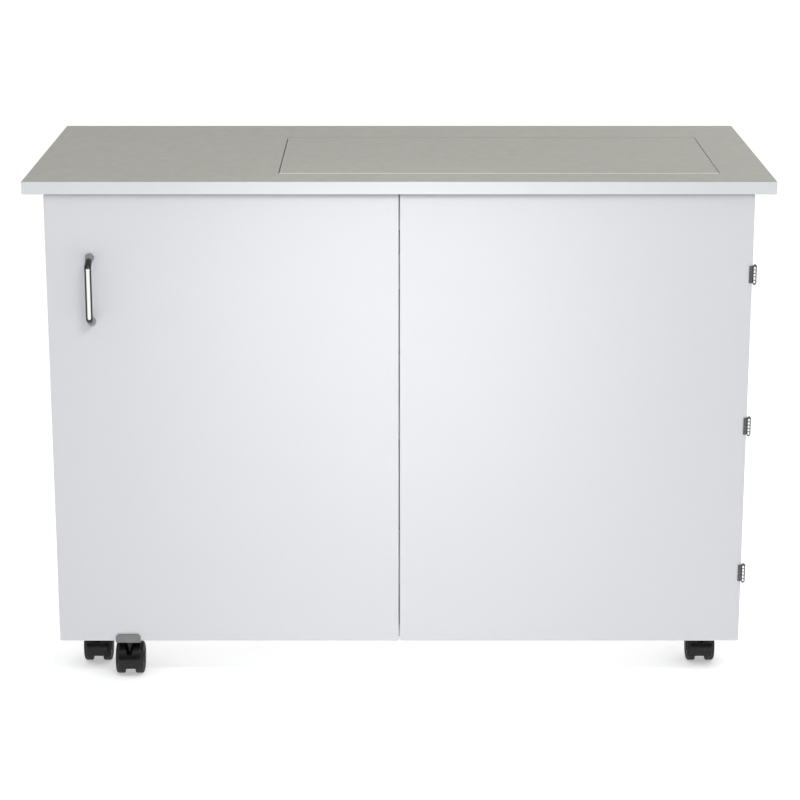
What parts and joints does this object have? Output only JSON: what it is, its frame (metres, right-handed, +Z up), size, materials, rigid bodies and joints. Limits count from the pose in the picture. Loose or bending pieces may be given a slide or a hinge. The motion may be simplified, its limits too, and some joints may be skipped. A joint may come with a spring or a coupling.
{
  "type": "sewing table",
  "caption": "Closed sewing cabinet on twin-wheel casters, with a folding pair of doors, a flush cover over the machine opening and a motor lift inside.",
  "frame": {"origin": "centre of the bounding box on the floor, under the casters", "axes": "+X to the right seen from the front, +Y to the back, +Z up; the doors face -Y"},
  "size_m": [1.104, 0.538, 0.78],
  "materials": {
    "grey_laminate_board": "satin warm grey laminate on board",
    "white_edge_band": "satin white plastic edge band",
    "white_board": "satin white melamine on board",
    "white_foil_board": "satin white foil on board with eased edges",
    "zinc_steel": "bright zinc plate",
    "nickel_steel": "satin nickel plate",
    "grey_bracket_steel": "dull zinc plate",
    "grey_steel": "grey powder coat",
    "bright_steel": "oiled bright steel",
    "cast_aluminium": "bead-blasted cast metal",
    "chrome": "polished",
    "bronze": "machined bronze",
    "black_metal": "black enamel",
    "black_plastic": "fine-grained black",
    "gloss_black_plastic": "gloss black",
    "dark_grey_plastic": "satin dark grey",
    "black_wheel_plastic": "black nylon",
    "cable_rubber": "black sheath"
  },
  "bodies": {
    "cabinet": {"tabletop": "grey_laminate_board", "tabletop_edge_bands": "white_edge_band", "left_side_panel": "white_board", "right_side_panel": "white_board", "bottom_panel": "white_board", "back_panel": "white_board", "front_rail": "white_board", "top_brackets": "zinc_steel", "cover_support_tabs": "zinc_steel", "side_hinge_frame_leaves": "nickel_steel", "side_hinge_pins": "nickel_steel", "caster_plates": "zinc_steel", "cabinet_fasteners": "zinc_steel", "lift_back_plate": "grey_steel", "guide_rods": "chrome", "rod_blocks": "cast_aluminium", "lift_motor": "black_metal", "lift_gearbox": "cast_aluminium", "screw_bearings": "cast_aluminium", "control_box": "black_plastic", "power_inlet": "black_plastic", "switch_housing": "black_plastic", "motor_cable": "cable_rubber", "switch_cable": "cable_rubber"},
    "screw": {"lead_screw": "bright_steel", "screw_coupling": "bright_steel"},
    "carriage": {"carriage_plate": "grey_steel", "carriage_bushes": "black_plastic", "lead_nut": "bronze", "carriage_bolts": "zinc_steel", "platform_arms": "grey_steel", "lift_platform": "white_board"},
    "rocker": {"switch_rocker": "gloss_black_plastic"},
    "cover": {"machine_cover": "grey_laminate_board", "cover_edge_bands": "white_edge_band"},
    "right_door": {"right_door_panel": "white_foil_board", "side_hinge_door_leaves": "nickel_steel", "center_hinge_right_leaves": "zinc_steel", "right_door_screws": "zinc_steel"},
    "left_door": {"left_door_panel": "white_foil_board", "center_hinge_left_leaves": "zinc_steel", "center_hinge_pins": "zinc_steel", "door_handle": "chrome", "left_door_screws": "zinc_steel", "door_caster_bracket": "grey_bracket_steel"},
    "front_left_caster": {"front_left_caster_hood": "dark_grey_plastic"},
    "front_left_wheel_l": {"front_left_caster_wheel_l": "black_wheel_plastic"},
    "front_left_wheel_r": {"front_left_caster_wheel_r": "black_wheel_plastic"},
    "front_right_caster": {"front_right_caster_hood": "dark_grey_plastic"},
    "front_right_wheel_l": {"front_right_caster_wheel_l": "black_wheel_plastic"},
    "front_right_wheel_r": {"front_right_caster_wheel_r": "black_wheel_plastic"},
    "rear_left_caster": {"rear_left_caster_hood": "dark_grey_plastic"},
    "rear_left_wheel_l": {"rear_left_caster_wheel_l": "black_wheel_plastic"},
    "rear_left_wheel_r": {"rear_left_caster_wheel_r": "black_wheel_plastic"},
    "rear_right_caster": {"rear_right_caster_hood": "dark_grey_plastic"},
    "rear_right_wheel_l": {"rear_right_caster_wheel_l": "black_wheel_plastic"},
    "rear_right_wheel_r": {"rear_right_caster_wheel_r": "black_wheel_plastic"},
    "door_caster": {"door_caster_hood": "dark_grey_plastic"},
    "door_wheel_l": {"door_caster_wheel_l": "black_wheel_plastic"},
    "door_wheel_r": {"door_caster_wheel_r": "black_wheel_plastic"}
  },
  "joints": [
    {"name": "platform_lift", "type": "slide", "parent": "cabinet", "child": "carriage", "axis": [0, 0, 1], "range_m": [0, 0.325]},
    {"name": "screw_spin", "type": "hinge", "parent": "cabinet", "child": "screw", "pos_m": [0.1485, 0.186, 0.45], "axis": [0, 0, 1], "continuous": true},
    {"name": "switch_tilt", "type": "hinge", "parent": "cabinet", "child": "rocker", "pos_m": [0.43, -0.207, 0.689], "axis": [1, 0, 0], "range_deg": [-8, 8], "stiffness_Nm_per_rad": 0.2},
    {"name": "cover_lift", "type": "slide", "parent": "cabinet", "child": "cover", "axis": [0, 0, 1], "range_m": [0, 0.1]},
    {"name": "right_door_swing", "type": "hinge", "parent": "cabinet", "child": "right_door", "pos_m": [0.5252, -0.2398, 0.406], "axis": [0, 0, 1], "range_deg": [0, 270]},
    {"name": "left_door_fold", "type": "hinge", "parent": "right_door", "child": "left_door", "pos_m": [0, -0.217, 0.406], "axis": [0, 0, 1], "range_deg": [-180, 0]},
    {"name": "front_left_caster_swivel", "type": "hinge", "parent": "cabinet", "child": "front_left_caster", "pos_m": [-0.473, -0.166, 0.055], "axis": [0, 0, 1], "continuous": true},
    {"name": "front_left_wheel_l_roll", "type": "hinge", "parent": "front_left_caster", "child": "front_left_wheel_l", "pos_m": [-0.473, -0.155, 0.025], "axis": [1, 0, 0], "continuous": true},
    {"name": "front_left_wheel_r_roll", "type": "hinge", "parent": "front_left_caster", "child": "front_left_wheel_r", "pos_m": [-0.473, -0.155, 0.025], "axis": [1, 0, 0], "continuous": true},
    {"name": "front_right_caster_swivel", "type": "hinge", "parent": "cabinet", "child": "front_right_caster", "pos_m": [0.473, -0.166, 0.055], "axis": [0, 0, 1], "continuous": true},
    {"name": "front_right_wheel_l_roll", "type": "hinge", "parent": "front_right_caster", "child": "front_right_wheel_l", "pos_m": [0.473, -0.155, 0.025], "axis": [1, 0, 0], "continuous": true},
    {"name": "front_right_wheel_r_roll", "type": "hinge", "parent": "front_right_caster", "child": "front_right_wheel_r", "pos_m": [0.473, -0.155, 0.025], "axis": [1, 0, 0], "continuous": true},
    {"name": "rear_left_caster_swivel", "type": "hinge", "parent": "cabinet", "child": "rear_left_caster", "pos_m": [-0.473, 0.195, 0.055], "axis": [0, 0, 1], "continuous": true},
    {"name": "rear_left_wheel_l_roll", "type": "hinge", "parent": "rear_left_caster", "child": "rear_left_wheel_l", "pos_m": [-0.473, 0.206, 0.025], "axis": [1, 0, 0], "continuous": true},
    {"name": "rear_left_wheel_r_roll", "type": "hinge", "parent": "rear_left_caster", "child": "rear_left_wheel_r", "pos_m": [-0.473, 0.206, 0.025], "axis": [1, 0, 0], "continuous": true},
    {"name": "rear_right_caster_swivel", "type": "hinge", "parent": "cabinet", "child": "rear_right_caster", "pos_m": [0.473, 0.195, 0.055], "axis": [0, 0, 1], "continuous": true},
    {"name": "rear_right_wheel_l_roll", "type": "hinge", "parent": "rear_right_caster", "child": "rear_right_wheel_l", "pos_m": [0.473, 0.206, 0.025], "axis": [1, 0, 0], "continuous": true},
    {"name": "rear_right_wheel_r_roll", "type": "hinge", "parent": "rear_right_caster", "child": "rear_right_wheel_r", "pos_m": [0.473, 0.206, 0.025], "axis": [1, 0, 0], "continuous": true},
    {"name": "door_caster_swivel", "type": "hinge", "parent": "left_door", "child": "door_caster", "pos_m": [-0.417, -0.221, 0.055], "axis": [0, 0, 1], "continuous": true},
    {"name": "door_wheel_l_roll", "type": "hinge", "parent": "door_caster", "child": "door_wheel_l", "pos_m": [-0.417, -0.21, 0.025], "axis": [1, 0, 0], "continuous": true},
    {"name": "door_wheel_r_roll", "type": "hinge", "parent": "door_caster", "child": "door_wheel_r", "pos_m": [-0.417, -0.21, 0.025], "axis": [1, 0, 0], "continuous": true}
  ],
  "couplings": [
    {"joint": "left_door_fold", "follows": "right_door_swing", "ratio": -0.66667},
    {"joint": "screw_spin", "follows": "platform_lift", "rad_per_m": 628.32}
  ]
}
